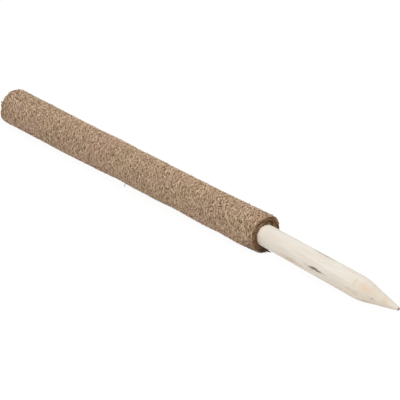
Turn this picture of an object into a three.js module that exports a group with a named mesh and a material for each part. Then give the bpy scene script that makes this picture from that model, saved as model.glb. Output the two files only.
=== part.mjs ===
// Moss pole: a peeled, pointed wooden stake rolled in coir matting.
// The pole lies along X on the ground plane z = 0, with its point towards +X. Millimetres.
import * as THREE from "three";

// Overall
const POLE_LENGTH = 600; // top end of the coir to the tip of the point
const SLEEVE_LENGTH = 410; // stretch of the pole that is wrapped

// Stake: round wood, a little thicker towards its point, with one shallow natural bend
const STAKE_TOP_DIAMETER = 22;
const STAKE_MOUTH_DIAMETER = 22.7; // where it leaves the coir
const STAKE_SHOULDER_DIAMETER = 24; // where the point begins
const STAKE_TOP_RECESS = 2; // sawn top end, below the end of the coir
const POINT_LENGTH = 49;
const POINT_TIP_DIAMETER = 2.4;
const SHOULDER_ROUNDING = 13; // length of the soft corner on each side of the shoulder
const BEND_INSIDE = 74; // the bend starts this far inside the mouth
const BEND_LENGTH = 110;
const BEND_ANGLE = 1.9; // degrees, downwards

// Inner mat: rolled round the stake
const MAT_WALL = 3.95; // all layers together, at the mouth
const MAT_TURNS = 2;
const MAT_SEAM = 120; // degrees, where its outer edge lies
const MAT_END_INSET = 3; // its ends, inside the ends of the fleece
const MAT_EDGE = 0.9; // thickness of the thinned first and last edge of a roll

// Binding thread: wound over the inner mat, with close turns at both ends
const THREAD_DIAMETER = 0.6;
const THREAD_END_INSET = 8; // first and last turn, from the ends of the mat
const LASHING_TURNS = 3;
const LASHING_PITCH = 1.2;
const OPEN_TURNS = 18; // long turns between the two lashings

// Outer fleece: wrapped once, with a lapped seam
const FLEECE_WALL = 2.5;
const FLEECE_TURNS = 1.2;
const FLEECE_SEAM = -25; // degrees from +Y towards +Z: behind the pole, below its widest line

// Clearances
const FIT = 0.3; // between pieces that touch
const LAYER_GAP = 0.45; // between the layers of one roll

// Facets
const SIDES = 32;
const BEND_STEPS = 6;
const ROUNDING_STEPS = 5;
const THREAD_STEPS = 24; // along one turn
const THREAD_SIDES = 6;

// Places worked out from the sizes
const topX = -POLE_LENGTH / 2;
const tipX = POLE_LENGTH / 2;
const mouthX = topX + SLEEVE_LENGTH;
const shoulderX = tipX - POINT_LENGTH;
const bendX = mouthX - BEND_INSIDE;
const sideAngle = (2 * Math.PI) / SIDES;
const matOuter = STAKE_MOUTH_DIAMETER / 2 + FIT + MAT_WALL;
const threadCentre = matOuter + FIT + THREAD_DIAMETER / 2;
const fleeceBore = threadCentre + THREAD_DIAMETER / 2 + FIT;
const sleeveRadius = fleeceBore + FLEECE_WALL;
const axisHeight = sleeveRadius * Math.cos(sideAngle / 2); // a flat of the fleece lies on the ground

// How far the stake's centre line drops below the sleeve's axis
function drop(x) {
  const slope = Math.tan(THREE.MathUtils.degToRad(BEND_ANGLE));
  const along = Math.max(x - bendX, 0);
  if (along < BEND_LENGTH) return (slope * along * along) / (2 * BEND_LENGTH);
  return slope * (along - BEND_LENGTH / 2);
}

// Radius of the round wood, before its point is cut
function woodRadius(x) {
  const [from, to, start, end] =
    x < mouthX
      ? [topX, mouthX, STAKE_TOP_DIAMETER, STAKE_MOUTH_DIAMETER]
      : [mouthX, shoulderX, STAKE_MOUTH_DIAMETER, STAKE_SHOULDER_DIAMETER];
  return THREE.MathUtils.mapLinear(x, from, to, start, end) / 2;
}

// Moves every vertex of a geometry by a function of its place
function reshape(geometry, move) {
  const position = geometry.getAttribute("position");
  const point = new THREE.Vector3();
  for (let i = 0; i < position.count; i++) {
    move(point.fromBufferAttribute(position, i));
    position.setXYZ(i, point.x, point.y, point.z);
  }
  geometry.computeVertexNormals();
  return geometry;
}

// Stations along X where the bend needs faces, up to a given end
function bendStations(end) {
  const stations = [];
  for (let i = 0; i <= BEND_STEPS; i++) {
    const x = bendX + (BEND_LENGTH * i) / BEND_STEPS;
    if (x < end - FIT) stations.push(x);
  }
  return stations;
}

function makeStake() {
  const sawnX = topX + STAKE_TOP_RECESS;
  const shoulder = new THREE.Vector2(STAKE_SHOULDER_DIAMETER / 2, shoulderX);
  const tip = new THREE.Vector2(POINT_TIP_DIAMETER / 2, tipX);
  const roundX = shoulderX - SHOULDER_ROUNDING;
  const roundStart = new THREE.Vector2(woodRadius(roundX), roundX);
  const roundEnd = shoulder.clone().lerp(tip, SHOULDER_ROUNDING / POINT_LENGTH);
  const rounding = new THREE.QuadraticBezierCurve(roundStart, shoulder, roundEnd);
  const profile = [
    new THREE.Vector2(0, sawnX),
    ...[sawnX, ...bendStations(roundX)].map((x) => new THREE.Vector2(woodRadius(x), x)),
    ...rounding.getPoints(ROUNDING_STEPS),
    tip,
    new THREE.Vector2(0, tipX),
  ];
  const turned = new THREE.LatheGeometry(profile, SIDES, sideAngle / 2).rotateZ(-Math.PI / 2);
  return reshape(turned, (point) => (point.z -= drop(point.x)));
}

// Section of a mat rolled on itself: a strip with thinned edges whose layers part along a spiral.
// Sides are counted along the strip from its first edge, and seam is where its last edge lies.
function rollSection(bore, outer, turns, seam) {
  const overlap = Math.round((turns - 1) * SIDES); // sides along the spiral
  const firstSide = Math.round(THREE.MathUtils.degToRad(seam) / sideAngle) - overlap;
  const spiral = (side) => {
    const share = side / overlap;
    return THREE.MathUtils.lerp(bore + MAT_EDGE, outer - MAT_EDGE - LAYER_GAP, share);
  };
  const at = (radius, side) => {
    const angle = (firstSide + side + 0.5) * sideAngle;
    return new THREE.Vector2(radius * Math.cos(angle), radius * Math.sin(angle));
  };
  const innerStep = LAYER_GAP / bore / sideAngle; // the layer gap, in sides, at the first edge
  const outerStep = LAYER_GAP / outer / sideAngle;
  const points = [at(bore, 0)];
  for (let side = 0; side <= overlap; side++) points.push(at(spiral(side), side));
  points.push(at(spiral(overlap), overlap + outerStep), at(outer, overlap + outerStep));
  for (let side = overlap + 1; side <= overlap + SIDES; side++) points.push(at(outer, side));
  for (let side = overlap; side >= 0; side--) points.push(at(spiral(side) + LAYER_GAP, side));
  points.push(at(spiral(0) + LAYER_GAP, -innerStep), at(bore, -innerStep));
  for (let side = SIDES - 1; side > 0; side--) points.push(at(bore, side));
  return new THREE.Shape(points);
}

// Extrudes a section along X through the given stations
function extrudeAlongX(section, stations) {
  const steps = stations.length - 1;
  const geometry = new THREE.ExtrudeGeometry(section, { depth: steps, steps, bevelEnabled: false });
  const [x, y, z] = [0, 1, 2].map((i) => new THREE.Vector3().setComponent(i, 1));
  geometry.applyMatrix4(new THREE.Matrix4().makeBasis(y, z, x));
  return reshape(geometry, (point) => (point.x = stations[Math.round(point.x)]));
}

function makeInnerMat() {
  const [startX, endX] = [topX + MAT_END_INSET, mouthX - MAT_END_INSET];
  const bore = matOuter - MAT_WALL;
  const section = rollSection(bore, matOuter, MAT_TURNS, MAT_SEAM);
  const geometry = extrudeAlongX(section, [startX, ...bendStations(endX), endX]);
  // The bore follows the stake's taper and bend, and the outside stays straight
  return reshape(geometry, (point) => {
    const radius = Math.hypot(point.y, point.z);
    const depth = (matOuter - radius) / MAT_WALL;
    const seated = matOuter - depth * (matOuter - woodRadius(point.x) - FIT);
    point.y *= seated / radius;
    point.z *= seated / radius;
    point.z -= depth * drop(point.x);
  });
}

function makeOuterFleece() {
  const section = rollSection(fleeceBore, sleeveRadius, FLEECE_TURNS, FLEECE_SEAM);
  return extrudeAlongX(section, [topX, mouthX]);
}

// Centre line of the thread: close turns, long turns, close turns
class Winding extends THREE.Curve {
  constructor() {
    super();
    this.turns = 2 * LASHING_TURNS + OPEN_TURNS;
    this.arcLengthDivisions = 2 * this.turns * THREAD_STEPS;
  }

  getPoint(t, target = new THREE.Vector3()) {
    const inset = MAT_END_INSET + THREAD_END_INSET;
    const lashing = LASHING_TURNS * LASHING_PITCH;
    const openLength = SLEEVE_LENGTH - 2 * inset - 2 * lashing;
    const turn = t * this.turns;
    const first = Math.min(turn, LASHING_TURNS);
    const open = THREE.MathUtils.clamp(turn - LASHING_TURNS, 0, OPEN_TURNS);
    const last = Math.max(turn - LASHING_TURNS - OPEN_TURNS, 0);
    const x = topX + inset + (first + last) * LASHING_PITCH + (open / OPEN_TURNS) * openLength;
    const angle = 2 * Math.PI * turn;
    return target.set(x, threadCentre * Math.cos(angle), threadCentre * Math.sin(angle));
  }
}

// Least clear distance between neighbouring turns, measured on points of the centre line
function leastGap(winding) {
  const points = winding.getPoints(winding.turns * THREAD_STEPS);
  let least = Infinity;
  for (let i = 0; i < points.length; i++) {
    for (let j = i + THREAD_STEPS / 2; j < points.length; j++) {
      least = Math.min(least, points[i].distanceTo(points[j]));
    }
  }
  return least - THREAD_DIAMETER;
}

function makeThread() {
  const winding = new Winding();
  console.log(`least gap between turns of the thread: ${leastGap(winding).toFixed(2)} mm`);
  const section = new THREE.Shape(new THREE.EllipseCurve(0, 0, THREAD_DIAMETER / 2, THREAD_DIAMETER / 2)
    .getPoints(THREAD_SIDES).slice(0, THREAD_SIDES));
  const steps = winding.turns * THREAD_STEPS;
  return new THREE.ExtrudeGeometry(section, { steps, extrudePath: winding, bevelEnabled: false });
}

const paleWood = new THREE.MeshStandardMaterial({ color: 0xe8dfd0, roughness: 0.75, metalness: 0 });
const darkCoir = new THREE.MeshStandardMaterial({ color: 0x7d5f45, roughness: 1, metalness: 0 });
const tanCoir = new THREE.MeshStandardMaterial({ color: 0xa48c73, roughness: 1, metalness: 0 });
const nylon = new THREE.MeshStandardMaterial({ color: 0xb7a88f, roughness: 0.45, metalness: 0 });

const pole = new THREE.Group();
pole.position.z = axisHeight;
for (const [name, geometry, material] of [
  ["stake", makeStake(), paleWood],
  ["inner_coir_mat", makeInnerMat(), darkCoir],
  ["binding_thread", makeThread(), nylon],
  ["outer_coir_fleece", makeOuterFleece(), tanCoir],
]) {
  const mesh = new THREE.Mesh(geometry, material);
  mesh.name = name;
  pole.add(mesh);
}

export default pole;
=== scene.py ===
import math
import random

import bmesh
import bpy
from mathutils import Matrix, Vector, noise


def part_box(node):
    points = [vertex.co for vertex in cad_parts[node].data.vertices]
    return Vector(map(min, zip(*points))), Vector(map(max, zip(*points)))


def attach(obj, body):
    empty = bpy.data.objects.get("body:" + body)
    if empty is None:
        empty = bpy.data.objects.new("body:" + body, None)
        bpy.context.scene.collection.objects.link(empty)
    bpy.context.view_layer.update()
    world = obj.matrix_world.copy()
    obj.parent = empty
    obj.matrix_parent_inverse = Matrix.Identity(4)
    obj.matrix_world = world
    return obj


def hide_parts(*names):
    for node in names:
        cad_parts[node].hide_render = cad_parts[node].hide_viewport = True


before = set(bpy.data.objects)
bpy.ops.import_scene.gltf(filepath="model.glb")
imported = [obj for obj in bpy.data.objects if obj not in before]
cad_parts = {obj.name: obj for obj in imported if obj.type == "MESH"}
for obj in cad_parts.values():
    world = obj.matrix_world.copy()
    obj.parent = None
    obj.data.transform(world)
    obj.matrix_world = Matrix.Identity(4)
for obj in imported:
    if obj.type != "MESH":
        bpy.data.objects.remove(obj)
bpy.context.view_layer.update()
mm = 0.001  # pieces are modelled in millimetres and brought to metres at the end

# Places that come from the frame
sleeveLow, sleeveHigh = (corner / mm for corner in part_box("outer_coir_fleece"))
matLow, matHigh = (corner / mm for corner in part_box("inner_coir_mat"))
threadLow, threadHigh = (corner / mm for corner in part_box("binding_thread"))
stakeLow, stakeHigh = (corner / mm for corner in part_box("stake"))
axisZ = (sleeveLow.z + sleeveHigh.z) / 2
sleeveRadius = (sleeveHigh.z - sleeveLow.z) / 2
topX, mouthX = sleeveLow.x, sleeveHigh.x


def newObject(name, data):
    made = bpy.data.objects.new(name, data)
    bpy.context.scene.collection.objects.link(made)
    return made


# a finished bmesh becomes an object at the origin, with its place in its mesh
def addPiece(name, bm, material, node=None):
    mesh = bpy.data.meshes.new(name)
    bm.to_mesh(mesh)
    bm.free()
    mesh.transform(Matrix.Diagonal((mm, mm, mm, 1)) @ Matrix.Translation((0, 0, axisZ)))
    mesh.materials.append(material)
    mesh.shade_smooth()
    piece = newObject(name, mesh)
    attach(piece, "root")
    if node:
        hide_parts(node)
    print(name, len(mesh.polygons), "faces")
    return piece


# a point on a ring round the pole's axis, turned from +Y towards +Z
def around(x, radius, angle):
    return Vector((x, radius * math.cos(angle), radius * math.sin(angle)))


# the shorter turn from a place in degrees to an angle
def turnFrom(place, angle):
    return (angle - math.radians(place) + math.pi) % math.tau - math.pi


# a smooth step from 0 at low to 1 at high
def blendIn(low, high, value):
    t = min(max((value - low) / (high - low), 0), 1)
    return t * t * (3 - 2 * t)


def tubeNoise(along, angle, rate):
    return noise.noise((along, rate * math.cos(angle), rate * math.sin(angle)))


def ringNoise(angle, rate, start):
    return noise.noise((rate * math.cos(angle), rate * math.sin(angle), start))


# Materials: small helpers that add nodes and join them
class NodeBench:
    def __init__(self, name, owner=None):
        self.material = owner or bpy.data.materials.new(name)
        self.material.use_nodes = True
        self.nodes = self.material.node_tree.nodes
        self.links = self.material.node_tree.links
        self.shader = self.nodes.get("Principled BSDF")

    def add(self, kind, settings=None, *values, **inputs):
        node = self.nodes.new("ShaderNode" + kind)
        for key, value in (settings or {}).items():
            setattr(node, key, value)
        for socket, value in zip(node.inputs, values):
            self.feed(socket, value)
        for key, value in inputs.items():
            self.feed(node.inputs[key.replace("_", " ")], value)
        return node

    def feed(self, socket, value):
        if isinstance(value, bpy.types.NodeSocket):
            self.links.new(value, socket)
        else:
            socket.default_value = value

    def maths(self, operation, *values, clamp=False):
        return self.add("Math", {"operation": operation, "use_clamp": clamp}, *values).outputs[0]

    def vectors(self, operation, *values):
        node = self.add("VectorMath", {"operation": operation}, *values)
        return node.outputs["Value" if operation in ("LENGTH", "DISTANCE") else "Vector"]

    def scaled(self, vector, factor):
        return self.add("VectorMath", {"operation": "SCALE"}, Vector=vector, Scale=factor).outputs["Vector"]

    def ramp(self, factor, stops):
        node = self.add("ValToRGB", Fac=factor)
        while len(node.color_ramp.elements) < len(stops):
            node.color_ramp.elements.new(1)
        for element, (place, colour) in zip(node.color_ramp.elements, stops):
            element.position = place
            element.color = colour
        return node.outputs["Color"]

    # the colour sockets of a Mix node have no names of their own
    def mix(self, factor, first, second, blend="MIX"):
        node = self.add("Mix", {"data_type": "RGBA", "blend_type": blend}, Factor=factor)
        self.feed(node.inputs[6], first)
        self.feed(node.inputs[7], second)
        return node.outputs[2]

    def noise(self, vector, scale, detail=3.0, roughness=0.55):
        node = self.add("TexNoise", Vector=vector, Scale=scale, Detail=detail, Roughness=roughness)
        return node.outputs["Fac"]

    # a number that goes from first to last while the value goes from low to high
    def span(self, value, low, high, first=0.0, last=1.0, kind="SMOOTHSTEP"):
        node = self.add("MapRange", {"interpolation_type": kind}, Value=value,
                        From_Min=low, From_Max=high, To_Min=first, To_Max=last)
        return node.outputs["Result"]

    def finish(self, colour, roughness, specular, relief=None, strength=0.0, distance=0.0):
        self.feed(self.shader.inputs["Base Color"], colour)
        self.shader.inputs["Roughness"].default_value = roughness
        self.shader.inputs["Specular IOR Level"].default_value = specular
        if relief is not None:
            bump = self.add("Bump", Height=relief, Strength=strength, Distance=distance)
            self.feed(self.shader.inputs["Normal"], bump.outputs["Normal"])
        return self.material


def paint(red, green, blue):
    def linear(value):
        value /= 255
        return value / 12.92 if value <= 0.04045 else ((value + 0.055) / 1.055) ** 2.4

    return (linear(red), linear(green), linear(blue), 1.0)


# stops of a ramp, evenly spaced
def tones(*colours):
    return [(i / (len(colours) - 1), paint(*colour)) for i, colour in enumerate(colours)]


# Stake: peeled round wood with a turned point
stakeSet = {
    "topRadius": 11.0,
    "mouthRadius": 11.35,  # where it leaves the coir
    "shoulderRadius": 12.0,  # where the point begins
    "pointLength": 49.0,
    "tipRadius": 1.2,
    "tipSwell": (0.55, 0.35, 0.75),  # blunt tip: how much, and over which share of the point
    "rounding": 9.0,  # soft corner on each side of the shoulder
    "bendInside": 74.0,  # the bend starts this far inside the mouth
    "bendLength": 110.0,
    "bendAngle": 1.9,
    "sides": 160,
    "ringStep": 1.2,  # length of a face where the wood shows
    "fineInside": 12.0,  # such faces start this far inside the mouth
    "hiddenCuts": 40,  # rings in the part that the coir hides
    "sawnRing": 0.9,  # the sawn face has a ring at this share of its radius
    "unevenness": 0.16,
    "ripple": (34.0, 1.7),  # length along the stake, and rate round it
    "fineRipple": (9.0, 6.0, 40.0, 0.35),  # the same, with its start and its share
    "calmRadius": 8.0,  # the ripples die down where the point is thinner
    "core": 0.6,  # share of the radius inside which the end faces stay flat
    "brokenEdge": 0.5,  # at the sawn end
    "sharp": 1.2,  # an edge is broken where its faces turn by more than this
}
# the split in its side
splitSet = {
    "middle": 194.5,
    "angle": 172.5,
    "length": 22.0,
    "width": 3.9,
    "depth": 1.1,
    "wander": [(0.7, 7.0, 2.0), (0.25, 2.0, 4.0)],  # size, length and start of the waves in its course
    "ragged": (0.85, 0.3, 3.0, 6.0),  # mean width, and size, length and start of its changes
    "blunt": 0.6,  # how its ends close
    "bed": 0.35,  # share of the width that is flat
    "patch": (2.0, 12.0, 3),  # finer mesh: room past its ends, degrees to either side, cuts
}


def stakeDrop(x):
    slope = math.tan(math.radians(stakeSet["bendAngle"]))
    along = max(x - (mouthX - stakeSet["bendInside"]), 0)
    bend = stakeSet["bendLength"]
    return slope * along * along / (2 * bend) if along < bend else slope * (along - bend / 2)


def stakeRadius(x):
    top, mouth = stakeSet["topRadius"], stakeSet["mouthRadius"]
    shoulder, tip = stakeSet["shoulderRadius"], stakeSet["tipRadius"]
    shoulderX = stakeHigh.x - stakeSet["pointLength"]

    def wood(at):
        if at < mouthX:
            return top + (mouth - top) * (at - topX) / (mouthX - topX)
        return mouth + (shoulder - mouth) * (at - mouthX) / (shoulderX - mouthX)

    def point(at):
        share = (at - shoulderX) / stakeSet["pointLength"]
        swell, low, high = stakeSet["tipSwell"]
        return shoulder + (tip - shoulder) * share + swell * blendIn(low, high, share)

    soft = stakeSet["rounding"]
    if x < shoulderX - soft:
        return wood(x)
    if x > shoulderX + soft:
        return point(x)
    t = (x - shoulderX + soft) / (2 * soft)
    before, after = wood(shoulderX - soft), point(shoulderX + soft)
    return (1 - t) ** 2 * before + 2 * t * (1 - t) * shoulder + t * t * after


def splitDepth(x, angle, radius):
    along = (x - splitSet["middle"]) / (splitSet["length"] / 2)
    if abs(along) >= 1:
        return 0
    wander = sum(size * noise.noise((x / length, 0, start)) for size, length, start in splitSet["wander"])
    across = abs(turnFrom(splitSet["angle"], angle) * radius - wander) / (splitSet["width"] / 2)
    mean, size, length, start = splitSet["ragged"]
    reach = (1 - along * along) ** splitSet["blunt"] * (mean + size * noise.noise((x / length, 0, start)))
    return splitSet["depth"] * reach * (1 - blendIn(splitSet["bed"], 1.0, across / max(reach, 0.05)))


def isNearSplit(vert):
    room, degrees, _ = splitSet["patch"]
    isBeside = abs(turnFrom(splitSet["angle"], math.atan2(vert.co.z, vert.co.y))) < math.radians(degrees)
    return isBeside and abs(vert.co.x - splitSet["middle"]) < splitSet["length"] / 2 + room


def makeStake(material):
    bm = bmesh.new()
    grain = bm.verts.layers.float_vector.new("grain")
    split = bm.verts.layers.float.new("split")
    # the profile is one line, cut into short steps where the wood shows
    sawn, bare, tip = stakeLow.x, mouthX - stakeSet["fineInside"], stakeHigh.x
    stations = [(sawn, 0), (sawn, stakeSet["sawnRing"]), (sawn, 1), (bare, 1), (tip, 1), (tip, 0)]
    corners = [bm.verts.new((x, 0, share * stakeRadius(x))) for x, share in stations]
    edges = [bm.edges.new(pair) for pair in zip(corners, corners[1:])]
    bmesh.ops.subdivide_edges(bm, edges=edges[2:3], cuts=stakeSet["hiddenCuts"])
    bmesh.ops.subdivide_edges(bm, edges=edges[3:4], cuts=int((tip - bare) / stakeSet["ringStep"]))
    for vert in bm.verts:
        if sawn < vert.co.x < tip:
            vert.co.z = stakeRadius(vert.co.x)
    bmesh.ops.spin(bm, geom=bm.verts[:] + bm.edges[:], cent=(0, 0, 0), axis=(1, 0, 0),
                   angle=math.tau, steps=stakeSet["sides"], use_merge=True)
    bmesh.ops.remove_doubles(bm, verts=bm.verts[:], dist=0.001)
    # a finer patch where the wood has split
    patch = [edge for edge in bm.edges if all(isNearSplit(vert) for vert in edge.verts)]
    bmesh.ops.subdivide_edges(bm, edges=patch, cuts=splitSet["patch"][2], use_grid_fill=True)
    length, rate = stakeSet["ripple"]
    fineLength, fineRate, fineStart, fineShare = stakeSet["fineRipple"]
    for vert in bm.verts:
        x, y, z = vert.co
        radius, angle = math.hypot(y, z), math.atan2(z, y)
        full = stakeRadius(x)
        vert[grain] = (x, y, z)
        if radius >= full * stakeSet["core"]:
            ripple = tubeNoise(x / length, angle, rate)
            fine = tubeNoise(x / fineLength + fineStart, angle, fineRate)
            calm = min(full / stakeSet["calmRadius"], 1)
            swell = stakeSet["unevenness"] * (ripple + fineShare * fine) * calm
            depth = splitDepth(x, angle, full)
            vert[split] = depth / splitSet["depth"]
            vert.co = around(x, radius + swell - depth, angle)
        vert.co.z -= stakeDrop(x)
    # the cut edge of the sawn end is a little broken
    cuts = [edge for edge in bm.edges if edge.is_manifold and edge.calc_face_angle() > stakeSet["sharp"]]
    rim = [edge for edge in cuts if edge.verts[0].co.x < mouthX]
    bmesh.ops.bevel(bm, geom=rim, offset=stakeSet["brokenEdge"], offset_type="OFFSET", affect="EDGES",
                    segments=2, profile=0.5, material=-1)
    bmesh.ops.recalc_face_normals(bm, faces=bm.faces[:])
    return addPiece("peeledStake", bm, material, "stake")


# Wood: pale, with streaks along the grain, growth rings, a soft mottle and a few marks, with painted light by
# the mouth and painted shade in the split and under the point
woodSet = {
    # scale along and across the grain, detail and roughness of each noise
    "streaks": (0.022, 0.6, 4.0, 0.6),
    "mottles": (0.06, 0.3, 3.0, 0.6),
    "blotches": (0.3, 0.5, 2.0, 0.55),
    "drift": (0.018, 0.09, 2.0, 0.55),
    "pores": (0.08, 2.6, 3.0, 0.55),
    "streakTones": [(0.36, paint(219, 208, 193)), (0.6, paint(237, 233, 226))],
    "mottleTones": [(0.36, paint(224, 219, 205)), (0.5, paint(230, 223, 212)), (0.64, paint(233, 221, 207))],
    "mottleShare": 0.5,
    "pith": (0.0, 0.7, -0.5),
    "ringWidth": 1.75,
    "ringDrift": 3.2,  # how far the rings wander
    "ringSharpness": 2.2,
    "ringStrength": (0.75, 0.22),  # on the sawn end, and along the stake
    "ringFade": (2.0, 6.0),  # distance from the sawn end over which that changes
    "ringTint": paint(221, 202, 174),
    # where a tint starts and ends, its strength at either place, and its colour
    "pointTint": (242.0, 264.0, 0.0, 0.55, paint(207, 195, 179)),
    "mouthLight": (0.0, 11.0, 1.0, 0.0, paint(250, 238, 219)),  # painted light, which lifts the shade that the coir casts on the wood by the mouth
    "lowTint": (3.0, -9.0, 0.0, 0.2, paint(234, 210, 178)),  # on the side that lies on the ground
    "tipTint": (0.8, 2.5, 0.85, 0.0, paint(98, 92, 82)),
    "tipCentre": 0.3,  # how far past the tip its tint is centred
    "splitTints": (184.0, paint(112, 100, 86), 200.0, paint(152, 139, 120)),  # painted shade in the groove, partly the split's own darker wood, at its two ends
    "splitReach": 1.5,  # how soon its colour is full
    "markEdge": (1.3, 0.6, 1.8),  # how ragged a mark is, and where it starts and ends to fade
    # place along the stake, angle, length, width, strength and colour
    "marks": [
        (158.0, 196.0, 22.0, 4.2, 0.5, paint(196, 160, 124)),  # stain along the lower edge
        (193.0, 70.0, 18.0, 3.0, 0.8, paint(156, 155, 138)),  # grey streak on the upper edge
        (207.0, 172.5, 7.0, 1.2, 0.5, paint(186, 166, 138)),  # tails of the split
        (181.0, 173.0, 5.0, 1.4, 0.45, paint(186, 166, 138)),
        (190.0, 181.0, 9.0, 1.8, 0.5, paint(188, 168, 140)),  # fringe under the split
        (251.1, 177.0, 5.0, 3.8, 0.36, paint(190, 160, 118)),  # knot at the shoulder
        (243.5, 176.0, 9.0, 3.6, 0.3, paint(200, 176, 138)),
        (270.1, 173.0, 3.8, 1.7, 0.42, paint(150, 112, 74)),  # specks on the point
        (285.2, 139.0, 6.0, 3.8, 0.4, paint(212, 172, 108)),
        (247.5, 122.0, 2.8, 7.0, 0.32, paint(190, 166, 122)),  # arc of a cut ring
        (257.0, 135.0, 11.0, 8.0, 0.36, paint(220, 188, 154)),  # tongues of cut rings
        (266.5, 128.0, 11.0, 7.0, 0.3, paint(216, 182, 146)),
        (263.0, 214.0, 12.0, 2.4, 0.3, paint(150, 128, 100)),  # painted shade along the under edge of the point
    ],
    "gloss": (0.72, 0.25),  # roughness and specular level
    "bump": (0.18, 0.0003),
}


def makeWood():
    bench = NodeBench("peeledWood")
    place = bench.add("Attribute", {"attribute_name": "grain"}).outputs["Vector"]
    along, _, height = bench.add("SeparateXYZ", Vector=place).outputs

    def grained(name):
        lengthwise, across, detail, roughness = woodSet[name]
        stretched = bench.vectors("MULTIPLY", place, (lengthwise, across, across))
        return bench.noise(stretched, 1.0, detail, roughness)

    colour = bench.ramp(grained("streaks"), woodSet["streakTones"])
    colour = bench.mix(woodSet["mottleShare"], colour, bench.ramp(grained("mottles"), woodSet["mottleTones"]))
    # growth rings
    fromPith = bench.vectors("MULTIPLY", bench.vectors("SUBTRACT", place, woodSet["pith"]), (0, 1, 1))
    radius = bench.vectors("LENGTH", fromPith)
    depth = bench.maths("MULTIPLY_ADD", grained("drift"), woodSet["ringDrift"], radius)
    wave = bench.maths("SINE", bench.maths("MULTIPLY", depth, math.tau / woodSet["ringWidth"]))
    ring = bench.maths("POWER", bench.maths("MULTIPLY_ADD", wave, 0.5, 0.5), woodSet["ringSharpness"])
    fadeFrom, fadeTo = (stakeLow.x + reach for reach in woodSet["ringFade"])
    ringStrength = bench.span(along, fadeFrom, fadeTo, *woodSet["ringStrength"], kind="LINEAR")
    colour = bench.mix(bench.maths("MULTIPLY", ring, ringStrength), colour, woodSet["ringTint"])
    # tints of whole stretches; the one by the mouth is painted light
    fromMouth = bench.maths("ABSOLUTE", bench.maths("SUBTRACT", along, mouthX))
    fromTip = bench.vectors("DISTANCE", place, (stakeHigh.x + woodSet["tipCentre"], 0, 0))
    stretches = {"pointTint": along, "mouthLight": fromMouth, "lowTint": height, "tipTint": fromTip}
    for name, measure in stretches.items():
        *reach, tint = woodSet[name]
        colour = bench.mix(bench.span(measure, *reach), colour, tint)
    # marks, and the split, whose darkening is partly painted shade
    blotches = grained("blotches")
    ragged, near, far = woodSet["markEdge"]
    for x, angle, length, width, strength, tint in woodSet["marks"]:
        offset = bench.vectors("SUBTRACT", place, around(x, stakeRadius(x), math.radians(angle)))
        offset = bench.vectors("MULTIPLY", offset, (1 / length, 1 / width, 1 / width))
        distance = bench.maths("MULTIPLY_ADD", blotches, ragged, bench.vectors("LENGTH", offset))
        colour = bench.mix(bench.span(distance, near, far, strength, 0.0), colour, tint)
    # the split darkens with its depth: partly darker wood inside it, partly painted shade in the groove
    nearX, nearTint, farX, farTint = woodSet["splitTints"]
    inside = bench.mix(bench.span(along, nearX, farX, kind="LINEAR"), nearTint, farTint)
    split = bench.add("Attribute", {"attribute_name": "split"}).outputs["Fac"]
    colour = bench.mix(bench.maths("MULTIPLY", split, woodSet["splitReach"], clamp=True), colour, inside)
    return bench.finish(colour, *woodSet["gloss"], grained("pores"), *woodSet["bump"])


# Coir: each fibre has a tone of its own, and the felt between the fibres is darker, painted shade for the
# pits and gaps between them
coirSet = {
    "bright": tones((228, 201, 171), (246, 226, 201)),
    "pale": tones((217, 187, 156), (233, 205, 175), (244, 223, 198)),
    "straw": tones((194, 164, 134), (214, 185, 155), (233, 205, 175)),
    "tan": tones((167, 137, 109), (193, 163, 134), (216, 188, 158)),
    "brown": tones((136, 108, 83), (171, 142, 114), (202, 173, 144)),
    "dark": tones((108, 83, 62), (152, 123, 96), (192, 163, 133)),
    # painted shade: the tone of the dark specks that stand for the pits
    "deep": tones((56, 34, 16), (94, 67, 43)),
    "edge": tones((112, 88, 66), (158, 130, 103), (202, 174, 144)),
    # painted shade: the tone of the dark strands under the mouth
    "lip": [(0.0, paint(60, 49, 41)), (0.7, paint(108, 87, 70)), (1.0, paint(140, 114, 91))],
    # the rolled mat's ends: partly its own darker, redder coir, partly painted shade of the recessed mouth
    "inner": [(0.0, paint(68, 49, 35)), (0.4, paint(112, 84, 61)),
              (0.75, paint(154, 119, 91)), (1.0, paint(194, 160, 129))],
    "patchShare": 0.06,  # share of a fibre's tone that comes from where it lies
    "patchScale": 60.0,
    "rowShare": 0.62,  # the same share for the rolled mat, whose tones run in rows
    "rowSize": (1.15, 12.0),  # width and length of a row
    "rowRange": (0.3, 0.7),  # part of the noise that is used
    "hues": [(0.3, (0.985, 1.005, 0.945, 1.0)), (0.7, (1.04, 0.99, 1.035, 1.0))],  # olive and rosy patches
    "hueNoise": (42.0, 2.0),  # scale and detail
    "topLight": (0.4, 0.985, 1.055),  # painted light on the upper side: share of the radius where it starts, and brightness below and above
    # painted shade in patches by the mouth: place along the pole, radius, angle, reach, strength and colour
    "shadePatches": [
        (103.0, 19.2, 219.0, 13.0, 0.6, paint(128, 99, 84)),
        (110.0, 15.5, 146.0, 8.0, 0.5, paint(100, 78, 52)),
        (110.0, 15.0, 186.0, 7.0, 0.5, paint(100, 76, 53)),
        (110.0, 17.0, 248.0, 10.0, 0.65, paint(82, 68, 58)),
    ],
    "gloss": (0.8, 0.2),
}


# tone that runs in rows round the pole
def rolledRows(bench, place):
    width, length = coirSet["rowSize"]
    spot = bench.vectors("SUBTRACT", place, (0, 0, axisZ * mm))
    radius = bench.vectors("LENGTH", bench.vectors("MULTIPLY", spot, (0, 1, 1)))
    spread = bench.vectors("DIVIDE", spot, (1, length * mm, length * mm))
    _, y, z = bench.add("SeparateXYZ", Vector=spread).outputs
    rows = bench.add("CombineXYZ", X=bench.maths("DIVIDE", radius, width * mm), Y=y, Z=z).outputs["Vector"]
    return bench.span(bench.noise(rows, 1.0, 0.0), *coirSet["rowRange"], 0.0, coirSet["rowShare"], "LINEAR")


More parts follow.
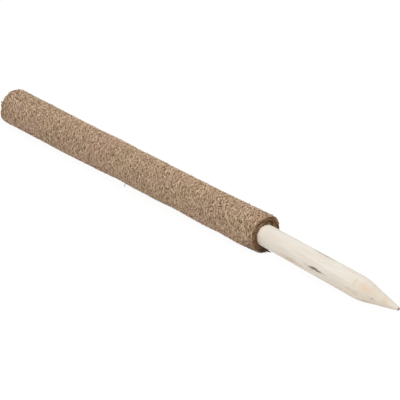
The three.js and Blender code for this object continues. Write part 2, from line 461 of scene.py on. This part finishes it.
# patches of hue, and painted light: a paler tone on the upper side
def huedAndTopLit(bench, place, colour):
    hue = bench.ramp(bench.noise(place, *coirSet["hueNoise"]), coirSet["hues"])
    colour = bench.mix(1.0, colour, hue, "MULTIPLY")
    share, least, most = coirSet["topLight"]
    height = bench.add("SeparateXYZ", Vector=place).outputs["Z"]
    low, high = (axisZ + share * sleeveRadius) * mm, (axisZ + sleeveRadius) * mm
    return bench.scaled(colour, bench.span(height, low, high, least, most))


def makeFibreMaterial(name, rolled=False):
    bench = NodeBench(name + "Coir")
    place = bench.add("TexCoord").outputs["Object"]
    if rolled:
        share, patch = coirSet["rowShare"], rolledRows(bench, place)
    else:
        share = coirSet["patchShare"]
        patch = bench.maths("MULTIPLY", bench.noise(place, coirSet["patchScale"]), share)
    chance = bench.add("NewGeometry").outputs["Random Per Island"]
    colour = bench.ramp(bench.maths("MULTIPLY_ADD", chance, 1 - share, patch), coirSet[name])
    if not rolled:
        colour = huedAndTopLit(bench, place, colour)
    # painted shade in patches by the mouth
    for x, radius, angle, reach, strength, tint in coirSet["shadePatches"]:
        centre = (around(x, radius, math.radians(angle)) + Vector((0, 0, axisZ))) * mm
        distance = bench.vectors("DISTANCE", place, centre)
        colour = bench.mix(bench.span(distance, 0.0, reach * mm, strength, 0.0), colour, tint)
    return bench.finish(colour, *coirSet["gloss"])


# the felt's dark tones are painted shade for the pits between the fibres and the gaps in the mouth
feltSet = {
    "skin": (paint(88, 67, 50), paint(142, 114, 89)),
    "inner": (paint(66, 47, 35), paint(122, 92, 69)),
    "tangle": (2200.0, 2.0, 0.6),  # scale, detail and roughness
    "range": (0.3, 0.72),
    "gloss": (0.95, 0.1),
    "bump": (0.8, 0.0006),
}


def makeFeltMaterial(name):
    bench = NodeBench(name + "Felt")
    tangle = bench.noise(bench.add("TexCoord").outputs["Object"], *feltSet["tangle"])
    colour = bench.ramp(tangle, list(zip(feltSet["range"], feltSet[name])))
    return bench.finish(colour, *feltSet["gloss"], tangle, *feltSet["bump"])


# Both coir sheets get their thickness while flat, and are then wound round the pole
def rollSheet(sheet, firstX, lastX, wallAt, shiftAt):
    bm = bmesh.new()
    columns = int(sheet["turns"] * sheet["sidesPerTurn"])
    bmesh.ops.create_grid(bm, x_segments=sheet["rings"], y_segments=columns, size=0.5)
    made = bmesh.ops.extrude_face_region(bm, geom=bm.faces[:], use_keep_orig=True)["geom"]
    upper = [part for part in made if isinstance(part, bmesh.types.BMVert)]
    bmesh.ops.translate(bm, vec=(0, 0, 1), verts=upper)
    for vert in bm.verts:
        x = firstX + (vert.co.x + 0.5) * (lastX - firstX)
        turns = (vert.co.y + 0.5) * sheet["turns"]
        angle = math.radians(sheet["seam"]) + math.tau * (turns - sheet["turns"])
        inner, outer = wallAt(x, turns, angle)
        vert.co = around(x, inner + (outer - inner) * vert.co.z, angle)
        vert.co.z -= shiftAt(x, turns)
    bmesh.ops.recalc_face_normals(bm, faces=bm.faces[:])
    if bm.calc_volume(signed=True) < 0:  # a rolled sheet can come out inside out
        bmesh.ops.reverse_faces(bm, faces=bm.faces[:])
    return bm


# Inner mat: rolled twice round the stake, seen only at the two ends
matSet = {
    "turns": 2.0,
    "thickness": 1.25,
    "pitch": 1.75,
    "clearOfStake": 0.4,
    "straighter": 0.6,  # the outer turn follows the stake's bend this much less
    "seam": 250.0,
    "sidesPerTurn": 64,
    "rings": 60,
    "flat": (0.171, 0.404),
}


def makeInnerMat(material):
    def wallAt(x, turns, angle):
        inner = stakeRadius(x) + matSet["clearOfStake"] + matSet["pitch"] * turns
        return inner, inner + matSet["thickness"]

    def shiftAt(x, turns):
        return stakeDrop(x) * (1 - matSet["straighter"] * turns / matSet["turns"])

    bm = rollSheet(matSet, matLow.x, matHigh.x, wallAt, shiftAt)
    return addPiece("innerMat", bm, material, "inner_coir_mat")


# Binding thread: close turns at both ends of the mat and long turns between
threadSet = {
    "radius": 0.3,
    "closeTurns": 3,
    "closePitch": 1.2,
    "longTurns": 18,
    "stepsPerTurn": 24,
    "sides": 8,
    "twist": (900.0, 1.0),  # scale and distortion
    "tones": [(0.2, paint(168, 152, 126)), (0.8, paint(196, 182, 156))],
    "gloss": (0.5, 0.5),
    "bump": (0.5, 0.0001),
}


def makeThread(material):
    bm = bmesh.new()
    radius = threadSet["radius"]
    centre = (threadHigh.z - threadLow.z) / 2 - radius
    closeLength = threadSet["closeTurns"] * threadSet["closePitch"]
    longLength = threadHigh.x - threadLow.x - 2 * radius - 2 * closeLength
    made = bmesh.ops.create_circle(bm, segments=threadSet["sides"], radius=radius, cap_ends=True)
    bmesh.ops.translate(bm, vec=(threadLow.x + radius, centre, 0), verts=made["verts"])
    end = bm.verts[:] + bm.edges[:] + bm.faces[:]
    closeRun = (threadSet["closeTurns"], closeLength)
    longRun = (threadSet["longTurns"], longLength)
    for turns, length in (closeRun, longRun, closeRun):
        steps = turns * threadSet["stepsPerTurn"]
        spun = bmesh.ops.spin(bm, geom=end, cent=(0, 0, 0), axis=(1, 0, 0), dvec=(length / steps, 0, 0),
                              angle=math.tau * turns, steps=steps, use_merge=False)
        end = spun["geom_last"]
    bmesh.ops.recalc_face_normals(bm, faces=bm.faces[:])
    return addPiece("bindingThread", bm, material, "binding_thread")


def makeThreadMaterial():
    bench = NodeBench("bindingThread")
    place = bench.add("TexCoord").outputs["Object"]
    scale, distortion = threadSet["twist"]
    twist = bench.add("TexWave", {"bands_direction": "DIAGONAL"}, Vector=place,
                      Scale=scale, Distortion=distortion).outputs["Fac"]
    colour = bench.ramp(twist, threadSet["tones"])
    return bench.finish(colour, *threadSet["gloss"], twist, *threadSet["bump"])


# Outer fleece: the felt that carries the visible fibres, wrapped once and lapped behind the pole
fleeceSet = {
    "bore": 16.8,
    "turns": 1.2,
    "feltDepth": 0.6,  # the felt lies this far below the outline, and the fibres fill the rest
    "thin": 0.7,  # thickness of the end that goes under the lap
    "thickens": (0.2, 0.25),  # turns between which that end gets its full thickness
    "lapRise": 0.76,  # how far the lap climbs over that end
    "climbs": (0.9, 0.99),  # turns between which it climbs
    "lapWidth": 20.0,
    "lapDepth": 0.9,
    "seam": -25.0,
    "unevenness": 0.3,
    "wave": (30.0, 1.4),  # length along the pole, and rate round it
    "flare": (0.45, 0.6),  # how the ends stand out: all round, and more above than below
    "flareReach": (110.0, 40.0),  # how far back that starts, at the mouth and at the top
    "topFlare": 0.8,  # share of the flare at the top
    # fuller and flatter places: place along the pole, angle, reach along and height
    "bulges": [
        (-252.0, 53.0, 62.0, 0.65),
        (-133.0, 53.0, 34.0, 0.6),
        (-201.0, 233.0, 54.0, 0.5),
        (-112.0, 233.0, 34.0, -0.75),
        (-21.0, 233.0, 30.0, -0.45),
        (32.0, 233.0, 28.0, 0.55),
        (84.0, 233.0, 32.0, 1.0),
    ],
    "bulgeWidth": 60.0,  # degrees to either side
    "raggedness": 1.3,  # how unevenly the ends are cut
    "ragWaves": [(0.8, 2.2, 5.0), (0.9, 7.0, 9.0)],  # share, rate round the pole and start
    "notch": (128.0, 42.0, 2.6),  # angle, half width and depth of a short place in the mouth's edge
    "slant": (1.9, 0.7),  # the mouth is cut a little short on the far side, and the top end above
    "cutReach": 8,  # the higher, the nearer to the ends the uneven cut stays
    "sidesPerTurn": 96,
    "rings": 150,
    "flat": (0.136, 0.41),
}


def fleeceRadius(x, angle):
    turn = (angle - math.radians(fleeceSet["seam"])) % math.tau
    below = fleeceSet["lapDepth"] * (1 - blendIn(0, math.radians(fleeceSet["lapWidth"]), turn))
    length, rate = fleeceSet["wave"]
    wave = fleeceSet["unevenness"] * tubeNoise(x / length, angle, rate)
    flare, lean = fleeceSet["flare"]
    mouthReach, topReach = fleeceSet["flareReach"]
    nearEnds = blendIn(mouthReach, 0, mouthX - x) + fleeceSet["topFlare"] * blendIn(topReach, 0, x - topX)
    bulge = 0
    for place, side, reach, height in fleeceSet["bulges"]:
        if abs(x - place) < reach:
            off = math.degrees(abs(turnFrom(side, angle)))
            bulge += height * blendIn(reach, 0, abs(x - place)) * blendIn(fleeceSet["bulgeWidth"], 0, off)
    return sleeveRadius - below + wave + (flare + lean * math.sin(angle)) * nearEnds + bulge


# how far the mouth (end 1) or the top (end -1) is cut past its even place
def cutEdge(angle, end):
    waves = sum(share * ringNoise(angle, rate, start * end) for share, rate, start in fleeceSet["ragWaves"])
    ragged = fleeceSet["raggedness"] * waves
    farSlant, topSlant = fleeceSet["slant"]
    if end < 0:
        return ragged - topSlant * max(math.sin(angle), 0)
    notchAngle, halfWidth, depth = fleeceSet["notch"]
    off = math.degrees(abs(turnFrom(notchAngle, angle)))
    short = farSlant * max(math.cos(angle), 0) + depth * blendIn(halfWidth, 0, off)
    return ragged - short


def makeFleece(material):
    def wallAt(x, turns, angle):
        inner = fleeceSet["bore"] + fleeceSet["lapRise"] * blendIn(*fleeceSet["climbs"], turns)
        thin = fleeceSet["bore"] + fleeceSet["thin"]
        full = fleeceRadius(x, angle) - fleeceSet["feltDepth"]
        return inner, thin + (full - thin) * blendIn(*fleeceSet["thickens"], turns)

    bm = rollSheet(fleeceSet, topX, mouthX, wallAt, lambda x, turns: 0)
    for vert in bm.verts:
        angle = math.atan2(vert.co.z, vert.co.y)
        share = (vert.co.x - topX) / (mouthX - topX)
        nearMouth = max(2 * share - 1, 0) ** fleeceSet["cutReach"]
        nearTop = max(1 - 2 * share, 0) ** fleeceSet["cutReach"]
        vert.co.x += cutEdge(angle, 1) * nearMouth - cutEdge(angle, -1) * nearTop
    return addPiece("outerFleece", bm, material, "outer_coir_fleece")


# Fibres: strands that lie in the felt's surface and run round the pole, each one a bent tube
fibreSet = {
    "margin": 4.0,  # they are laid out from this far past either end
    "spread": 1.5,  # how far a fibre strays from its even place
    "tries": 8,
    "cell": 1.6,  # size of the patches in which the cover is counted
    "ownKind": 3,  # a fibre of the same piece counts this many times more there
    "lay": 63.0,  # most fibres run round the pole, a little aslant
    "fan": 0.48,  # how far they turn from that
    "longShare": 0.0,  # share of the fibres that are longer, and how many times
    "longer": 1.0,
    "points": 4,
    "curl": 0.08,  # how hard a fibre turns, per millimetre
    "drift": 0.6,  # share of the curl that bends it to one side
    "sway": (0.5, 1.8),  # share that bends it to and fro
    "wave": (5.0, 12.0),
    "bob": (0.08, 0.22),  # up and down along a fibre
    "bobs": 1.5,
    "dive": (0.5, 0.75),  # how deep the ends go into the felt, and where that starts
    "loose": 0.0,  # share of fibres with a lifted end
    "lift": 0.0,
    "leastLift": 0.3,
    "liftFrom": 0.55,
    "thinEnds": 0.55,
}
underSet = {
    **fibreSet,
    "pieces": {"darkFibres": "dark"},
    "perPiece": 6800,
    "seed": 23,
    "length": (2.6, 6.0),
    "longShare": 0.08,
    "longer": 2.0,
    "radius": (0.2, 0.32),
    "height": (-0.5, -0.25),  # against the sleeve's outline
    "overhang": (-3.0, 0.4),  # past the cut ends
}
mixedSet = {
    **fibreSet,
    "pieces": {"paleFibres": "pale", "strawFibres": "straw", "tanFibres": "tan", "brownFibres": "brown"},
    "perPiece": 7000,
    "seed": 11,
    "length": (2.2, 5.2),
    "longShare": 0.14,
    "longer": 2.2,
    "radius": (0.17, 0.29),
    "height": (-0.22, 0.12),
    "overhang": (-1.2, 1.1),
    "loose": 0.04,
    "lift": 1.0,
}
brightSet = {
    **fibreSet,
    "pieces": {"brightFibres": "bright"},
    "perPiece": 2200,
    "seed": 37,
    "tries": 5,
    "length": (5.0, 11.0),
    "longShare": 0.2,
    "longer": 1.6,
    "radius": (0.14, 0.21),
    "points": 6,
    "curl": 0.1,
    "height": (0.02, 0.2),
    "overhang": (-2.0, 0.8),
    "loose": 0.05,
    "lift": 0.9,
}
# dark specks laid on top of the fibres: painted shade for the pits between them
pitShadeSet = {
    **fibreSet,
    "pieces": {"pitShadeSpecks": "deep"},
    "perPiece": 4200,
    "seed": 41,
    "spread": 1.6,
    "tries": 5,
    "fan": 0.9,
    "length": (1.1, 2.2),
    "radius": (0.28, 0.44),
    "points": 3,
    "curl": 0.05,
    "height": (0.12, 0.28),
    "overhang": (-2.0, 0.0),
}
goldenTurn = math.pi * (3 - math.sqrt(5))


def strandTrack(rng, layer, x, angle):
    points = layer["points"]
    step = rng.uniform(*layer["length"]) / (points - 1)
    if rng.random() < layer["longShare"]:
        step *= layer["longer"]
    heading = math.radians(layer["lay"]) + rng.gauss(0, layer["fan"])
    drift = rng.gauss(0, layer["drift"] * layer["curl"])
    sway = rng.uniform(*layer["sway"]) * layer["curl"]
    wave = rng.uniform(*layer["wave"])
    phase = rng.uniform(0, math.tau)
    track = [Vector((0, 0))]
    for i in range(points - 1):
        heading += (drift + sway * math.sin(math.tau * i * step / wave + phase)) * step
        track.append(track[-1] + step * Vector((math.cos(heading), math.sin(heading))))
    middle = track[points // 2]
    return [(x + place.x - middle.x, angle + (place.y - middle.y) / sleeveRadius) for place in track]


# the patches that a fibre crosses
def crossedCells(track):
    cell = fibreSet["cell"]
    return {(int(x // cell), int(angle % math.tau * sleeveRadius // cell)) for x, angle in track}


# of a few tries, the one that crosses the fewest fibres is kept
def barestTrack(rng, layer, x, angle, kind, cover):
    spread = layer["spread"]
    best = None
    for _ in range(layer["tries"]):
        place = (x + rng.gauss(0, spread), angle + rng.gauss(0, spread) / sleeveRadius)
        track = strandTrack(rng, layer, *place)
        cells = crossedCells(track)
        load = sum(cover.get(cell, 0) + layer["ownKind"] * cover.get((*cell, kind), 0) for cell in cells)
        load /= len(cells)
        if best is None or load < best[0]:
            best = (load, track, cells)
    for cell in best[2]:
        cover[cell] = cover.get(cell, 0) + 1
        cover[(*cell, kind)] = cover.get((*cell, kind), 0) + 1
    return best[1]


def aboveFloor(point, radius):
    point.z = max(point.z, radius - axisZ)
    return point


# a flat track goes up to the skin, and ends where the sleeve is cut
def raiseTrack(rng, layer, track, radius):
    height = rng.uniform(*layer["height"])
    isLoose = rng.random() < layer["loose"]
    lift = rng.uniform(layer["leastLift"], 1) * layer["lift"] if isLoose else 0
    bob = rng.uniform(*layer["bob"])
    phase = rng.uniform(0, math.tau)
    over = rng.uniform(*layer["overhang"])
    diveDepth, diveFrom = layer["dive"]
    last = len(track) - 1
    path = []
    for i, (x, angle) in enumerate(track):
        if not topX - cutEdge(angle, -1) - over < x < mouthX + cutEdge(angle, 1) + over:
            continue
        share = i / last
        dive = 0 if isLoose else diveDepth * blendIn(diveFrom, 1.0, abs(2 * share - 1))
        reach = fleeceRadius(x, angle) + height - dive + lift * blendIn(layer["liftFrom"], 1.0, share)
        reach += bob * math.sin(math.tau * layer["bobs"] * share + phase)
        path.append(aboveFloor(around(x, reach, angle), radius))
    return path


def strandPiece(name, strands, material):
    curve = bpy.data.curves.new(name, "CURVE")
    curve.dimensions = "3D"
    curve.bevel_depth = 1.0
    curve.bevel_resolution = 0
    curve.use_fill_caps = True
    for path, radius in strands:
        spline = curve.splines.new("POLY")
        last = len(path) - 1
        spline.points.add(last)
        for i, (point, co) in enumerate(zip(spline.points, path)):
            point.co = (*co, 1)
            point.radius = radius * (fibreSet["thinEnds"] if i in (0, last) else 1)
    holder = newObject(name, curve)
    mesh = bpy.data.meshes.new_from_object(holder.evaluated_get(bpy.context.evaluated_depsgraph_get()))
    bpy.data.objects.remove(holder)
    # the caps come loose from a curve, so they are joined to their tubes
    bm = bmesh.new()
    bm.from_mesh(mesh)
    bmesh.ops.remove_doubles(bm, verts=bm.verts[:], dist=0.0001)
    bmesh.ops.recalc_face_normals(bm, faces=bm.faces[:])
    return addPiece(name, bm, material)


def makeFibres(layer):
    rng = random.Random(layer["seed"])
    kinds = len(layer["pieces"])
    total = kinds * layer["perPiece"]
    margin = layer["margin"]
    cover = {}
    strands = []
    for i in range(total):
        x = topX - margin + (mouthX - topX + 2 * margin) * i / total
        track = barestTrack(rng, layer, x, i * goldenTurn, i % kinds, cover)
        radius = rng.uniform(*layer["radius"])
        strands.append((raiseTrack(rng, layer, track, radius), radius))
    made = []
    for kind, (name, tone) in enumerate(layer["pieces"].items()):
        whole = [strand for strand in strands[kind::kinds] if len(strand[0]) > 2]
        made.append(strandPiece(name, whole, makeFibreMaterial(tone)))
    return made


# End fibres: strands that run round the cut ends, where the layers of the roll show
endSet = {
    "seed": 71,
    "inner": 11.8,
    # count, and for each layer its radius, how far it stands back and its share of the strands
    "mat": (440, [(12.6, 0.6, 0.2), (14.2, 0.8, 0.25), (15.8, 0.7, 0.25), (17.5, 0.0, 0.3)]),
    "edge": (130, [(18.9, 0.0, 1.0)]),
    "lip": (70, [(17.4, 0.1, 0.4), (18.6, 0.0, 0.6)]),
    "spread": 0.27,
    "depth": (-0.9, 1.2),
    "crossing": 0.1,  # share of the strands that run from layer to layer
    "tilt": (3.0, 0.7),  # change of radius along those, and along the others
    "climb": 0.8,
    "waves": (1, 3),
    "sway": (0.3, 0.2),  # in and out of the end, and from layer to layer
    "innerCut": 0.3,  # how much of the skin's uneven cut the innermost strands follow
    "skinDepth": 0.3,
    "gap": (222.0, 285.0, 12.5),  # a dark gap under the stake, free of strands inside this radius
    "lipShade": (216.0, 296.0),  # here the skin's edge is left out at the mouth, and dark strands paint the shade under it
    "radius": (0.22, 0.46),
    "length": (5.0, 16.0),
    "points": 8,
}


def isInLipShade(angle):
    low, high = endSet["lipShade"]
    return low < math.degrees(angle) % 360 < high


def makeEndFibres(name, endX, outwards, part, material, seed):
    rng = random.Random(endSet["seed"] + seed)
    count, layers = endSet[part]
    weights = [weight for _, _, weight in layers]
    inner, skinDepth = endSet["inner"], endSet["skinDepth"]
    gapFrom, gapTo, gapRadius = endSet["gap"]
    crossTilt, plainTilt = endSet["tilt"]
    swayOut, swayUp = endSet["sway"]
    strands = []
    for _ in range(count):
        layer, back, _ = rng.choices(layers, weights)[0]
        middle = rng.gauss(layer, endSet["spread"])
        angle = rng.uniform(0, math.tau)
        if part == "lip":
            angle = math.radians(rng.uniform(*endSet["lipShade"]))
        sweep = rng.uniform(*endSet["length"]) / middle * rng.choice((-1, 1))
        deep = back + rng.uniform(*endSet["depth"])
        tilt = rng.gauss(0, crossTilt if rng.random() < endSet["crossing"] else plainTilt)
        climb = rng.gauss(0, endSet["climb"])
        waves = rng.uniform(*endSet["waves"])
        phase = rng.uniform(0, math.tau)
        radius = rng.uniform(*endSet["radius"])
        share = (middle - inner) / (sleeveRadius - inner)
        path = []
        for i in range(endSet["points"]):
            t = i / (endSet["points"] - 1)
            sway = math.sin(waves * math.tau * t + phase)
            turn = angle + sweep * t
            cut = cutEdge(turn, outwards) * (endSet["innerCut"] + (1 - endSet["innerCut"]) * share)
            x = endX + outwards * (cut - deep - climb * (t - 0.5) - swayOut * sway)
            outline = fleeceRadius(x, turn) - skinDepth
            stretch = (outline - inner) / (sleeveRadius - skinDepth - inner)
            reach = inner + (middle - inner) * stretch + tilt * (t - 0.5) + swayUp * sway
            if outwards > 0 and gapFrom < math.degrees(turn) % 360 < gapTo and reach < gapRadius:
                continue
            point = around(x, min(max(reach, inner), outline), turn)
            point.z -= stakeDrop(x) * max(1 - share, 0)
            path.append(aboveFloor(point, radius))
        # at the mouth, the skin's edge leaves the shaded underside to the lip's dark strands, painted shade
        if outwards > 0 and part != "mat" and isInLipShade(angle + sweep / 2) != (part == "lip"):
            continue
        if len(path) == endSet["points"]:
            strands.append((path, radius))
    return strandPiece(name, strands, material)


# Rim fibres: strands of the skin that bend over the edge of a cut end
rimSet = {
    "seed": 91,
    "count": 260,
    "back": (1.0, 8.0),
    "over": (0.2, 3.2),
    "fold": (0.45, 0.35),  # mean share of that which is folded over, and its change
    "foldedSide": 200.0,  # the skin is folded over furthest on this side
    "slant": 0.45,
    "bulge": (-0.7, 0.9),
    "height": (-0.8, 0.25),
    "sway": (0.5, 0.9),  # size and rate
    "bowFrom": 1.5,  # a strand starts to bow this far before the edge
    "foldFrom": 0.2,  # and to go in this far past it
    "patches": (4.0, 3.0),  # rate round the pole, and step from end to end
    "bare": -0.3,  # patches of the rim without such strands
    "radius": (0.2, 0.36),
    "points": 7,
}


def makeRimFibres(name, endX, outwards, material, seed):
    rng = random.Random(rimSet["seed"] + seed)
    foldMean, foldChange = rimSet["fold"]
    patchRate, patchStep = rimSet["patches"]
    swaySize, swayRate = rimSet["sway"]
    bowFrom = rimSet["bowFrom"]
    strands = []
    for _ in range(rimSet["count"]):
        angle = rng.uniform(0, math.tau)
        fold = foldMean + foldChange * math.cos(angle - math.radians(rimSet["foldedSide"]))
        back, over = rng.uniform(*rimSet["back"]), rng.uniform(*rimSet["over"]) * fold
        slant = rng.gauss(0, rimSet["slant"])
        bulge = rng.uniform(*rimSet["bulge"])
        height = rng.uniform(*rimSet["height"])
        phase = rng.uniform(0, math.tau)
        radius = rng.uniform(*rimSet["radius"])
        patch = ringNoise(angle, patchRate, patchStep * seed)
        if patch < rimSet["bare"] or (outwards > 0 and isInLipShade(angle)):
            continue
        path = []
        for i in range(rimSet["points"]):
            along = -back + (back + over) * i / (rimSet["points"] - 1)
            turn = angle + (slant * along + swaySize * math.sin(along * swayRate + phase)) / sleeveRadius
            bow = math.sin(math.pi * min(max(along + bowFrom, 0) / (over + bowFrom), 1))
            x = endX + outwards * (cutEdge(turn, outwards) + min(along, 0) + bulge * bow)
            reach = fleeceRadius(x, turn) + height - max(along - rimSet["foldFrom"], 0)
            path.append(aboveFloor(around(x, max(reach, endSet["inner"]), turn), radius))
        strands.append((path, radius))
    return strandPiece(name, strands, material)


# Stray fibres: a few that stand off the skin
straySet = {
    "seed": 131,
    "count": 40,
    "margin": (15.0, 20.0),  # free of scattered strays, at the top and at the mouth
    "side": (-40.0, 220.0),  # they keep to the upper side
    "out": (0.8, 2.4),
    "lean": 2.5,
    "radius": (0.14, 0.26),
    "root": 0.7,  # how deep a stray starts in the skin
    "drift": 1.0,
    "points": 6,
    # place along the pole, angle, how far it stands out and leans along the pole, and its radius
    "placed": [
        (-97.0, 233.0, 4.0, 2.2, 0.42),
        (109.5, 62.0, 1.8, 0.6, 0.3),
        (109.0, 66.0, 1.5, 1.0, 0.3),
        (-299.0, 149.0, 0.7, -3.4, 0.44),  # tuft at the top end
        (-299.0, 152.0, 0.5, -3.4, 0.44),
        (-299.0, 156.0, 0.3, -3.0, 0.4),
    ],
    # dark strays at the lip, painted shade like the lip's strands
    "dark": [
        (108.0, 268.0, 0.2, 4.6, 0.4),
        (108.5, 272.0, 0.3, 5.4, 0.44),
        (108.8, 275.0, 0.4, 6.0, 0.44),
        (109.0, 278.0, 0.4, 6.0, 0.4),
    ],
}


def makeStrays(name, places, material):
    rng = random.Random(straySet["seed"])
    root = straySet["root"]
    strands = []
    for x, angle, out, lean, radius in places:
        turn = math.radians(angle)
        drift = rng.gauss(0, straySet["drift"]) / sleeveRadius
        path = []
        for i in range(straySet["points"]):
            t = i / (straySet["points"] - 1)
            reach = fleeceRadius(x, turn) - root + (out + root) * t
            path.append(aboveFloor(around(x + lean * t * t, reach, turn + drift * t * t), radius))
        strands.append((path, radius))
    return strandPiece(name, strands, material)


def scatterStrays():
    rng = random.Random(straySet["seed"])
    topMargin, mouthMargin = straySet["margin"]
    places = []
    for _ in range(straySet["count"]):
        x = rng.uniform(topX + topMargin, mouthX - mouthMargin)
        angle = rng.uniform(*straySet["side"])
        out = rng.uniform(*straySet["out"])
        lean = rng.gauss(0, straySet["lean"])
        places.append((x, angle, out, lean, rng.uniform(*straySet["radius"])))
    return places


# Stage: a pale floor that the camera sees as white but for the pole's soft shadow
stageSet = {"size": 12000.0, "floor": 0.9, "shadowShare": 0.08, "white": 1.03}


# rays that look straight at the background, or see it in a mirror or through glass
def directRays(bench):
    seen = bench.add("LightPath").outputs
    mirrored = bench.maths("MAXIMUM", seen["Is Glossy Ray"], seen["Is Transmission Ray"])
    return bench.maths("MAXIMUM", seen["Is Camera Ray"], mirrored)


def makeStage():
    bm = bmesh.new()
    bmesh.ops.create_grid(bm, x_segments=1, y_segments=1, size=stageSet["size"] / 2 * mm)
    mesh = bpy.data.meshes.new("floor")
    bm.to_mesh(mesh)
    bm.free()
    floor = newObject("floor", mesh)
    bench = NodeBench("paleFloor")
    shade = stageSet["floor"]
    mesh.materials.append(bench.finish((shade, shade, shade, 1), roughness=1.0, specular=0.0))
    glow = bench.add("Emission", Color=(1, 1, 1, 1), Strength=stageSet["white"])
    share = bench.maths("MULTIPLY", directRays(bench), 1 - stageSet["shadowShare"])
    blend = bench.add("MixShader", Fac=share)
    bench.feed(blend.inputs[1], bench.shader.outputs["BSDF"])
    bench.feed(blend.inputs[2], glow.outputs["Emission"])
    bench.feed(bench.nodes["Material Output"].inputs["Surface"], blend.outputs["Shader"])


# Light: an even white room with one wide lamp above and one beside the camera
lightSet = {
    "room": 0.61,
    # power, size and place of each lamp
    "topLamp": (22.0, 1600.0, (900.0, 0.0, 2860.0)),
    "sideLamp": (130.0, 2800.0, (4600.0, -1740.0, 3000.0)),
}


def makeLight():
    world = bpy.data.worlds.new("studio")
    bpy.context.scene.world = world
    bench = NodeBench("studio", world)
    backdrop = bench.nodes["Background"].inputs
    backdrop["Color"].default_value = (1, 1, 1, 1)
    room = lightSet["room"]
    bench.feed(backdrop["Strength"], bench.maths("MULTIPLY_ADD", directRays(bench), 1 - room, room))
    for name in ("topLamp", "sideLamp"):
        power, size, place = lightSet[name]
        lamp = bpy.data.lights.new(name, "AREA")
        lamp.size = size * mm
        lamp.energy = power
        holder = newObject(name, lamp)
        holder.location = Vector(place) * mm
        holder.rotation_euler = holder.location.to_track_quat("Z", "Y").to_euler()


# Camera: at the photograph's angle and distance
cameraSet = {
    "azimuth": 49.2,
    "elevation": 26.11,
    "distance": 3003.0,
    "target": (9.4, 0.0, 20.5),
    "lens": 264.6,
}


def makeCamera():
    azimuth, elevation = math.radians(cameraSet["azimuth"]), math.radians(cameraSet["elevation"])
    level = math.cos(elevation)
    back = Vector((math.sin(azimuth) * level, -math.cos(azimuth) * level, math.sin(elevation)))
    data = bpy.data.cameras.new("camera")
    data.lens = cameraSet["lens"]
    camera = newObject("camera", data)
    camera.location = (Vector(cameraSet["target"]) + back * cameraSet["distance"]) * mm
    camera.rotation_euler = back.to_track_quat("Z", "Y").to_euler()
    bpy.context.scene.camera = camera


bpy.context.scene.view_settings.view_transform = "Standard"
makeCamera()
makeLight()
makeStage()
print("stage ready")
innerCoir = makeFibreMaterial("inner", rolled=True)
edgeCoir = makeFibreMaterial("edge")
lipCoir = makeFibreMaterial("lip")
peeledStake = makeStake(makeWood())
innerMat = makeInnerMat(makeFeltMaterial("inner"))
makeThread(makeThreadMaterial())
outerFleece = makeFleece(makeFeltMaterial("skin"))
skin = makeFibres(underSet) + makeFibres(mixedSet) + makeFibres(brightSet) + makeFibres(pitShadeSet)
skin += [
    makeEndFibres("mouthEdge", mouthX, 1, "edge", edgeCoir, 2),
    makeEndFibres("topEdge", topX, -1, "edge", edgeCoir, 3),
    makeEndFibres("mouthLip", mouthX, 1, "lip", lipCoir, 4),
    makeRimFibres("mouthRim", mouthX, 1, edgeCoir, 0),
    makeRimFibres("topRim", topX, -1, edgeCoir, 1),
    makeStrays("strayFibres", straySet["placed"] + scatterStrays(), edgeCoir),
    makeStrays("lipStrays", straySet["dark"], lipCoir),
]
ends = [
    makeEndFibres("mouthFibres", mouthX, 1, "mat", innerCoir, 0),
    makeEndFibres("topFibres", topX, -1, "mat", innerCoir, 1),
]
print("pole ready")
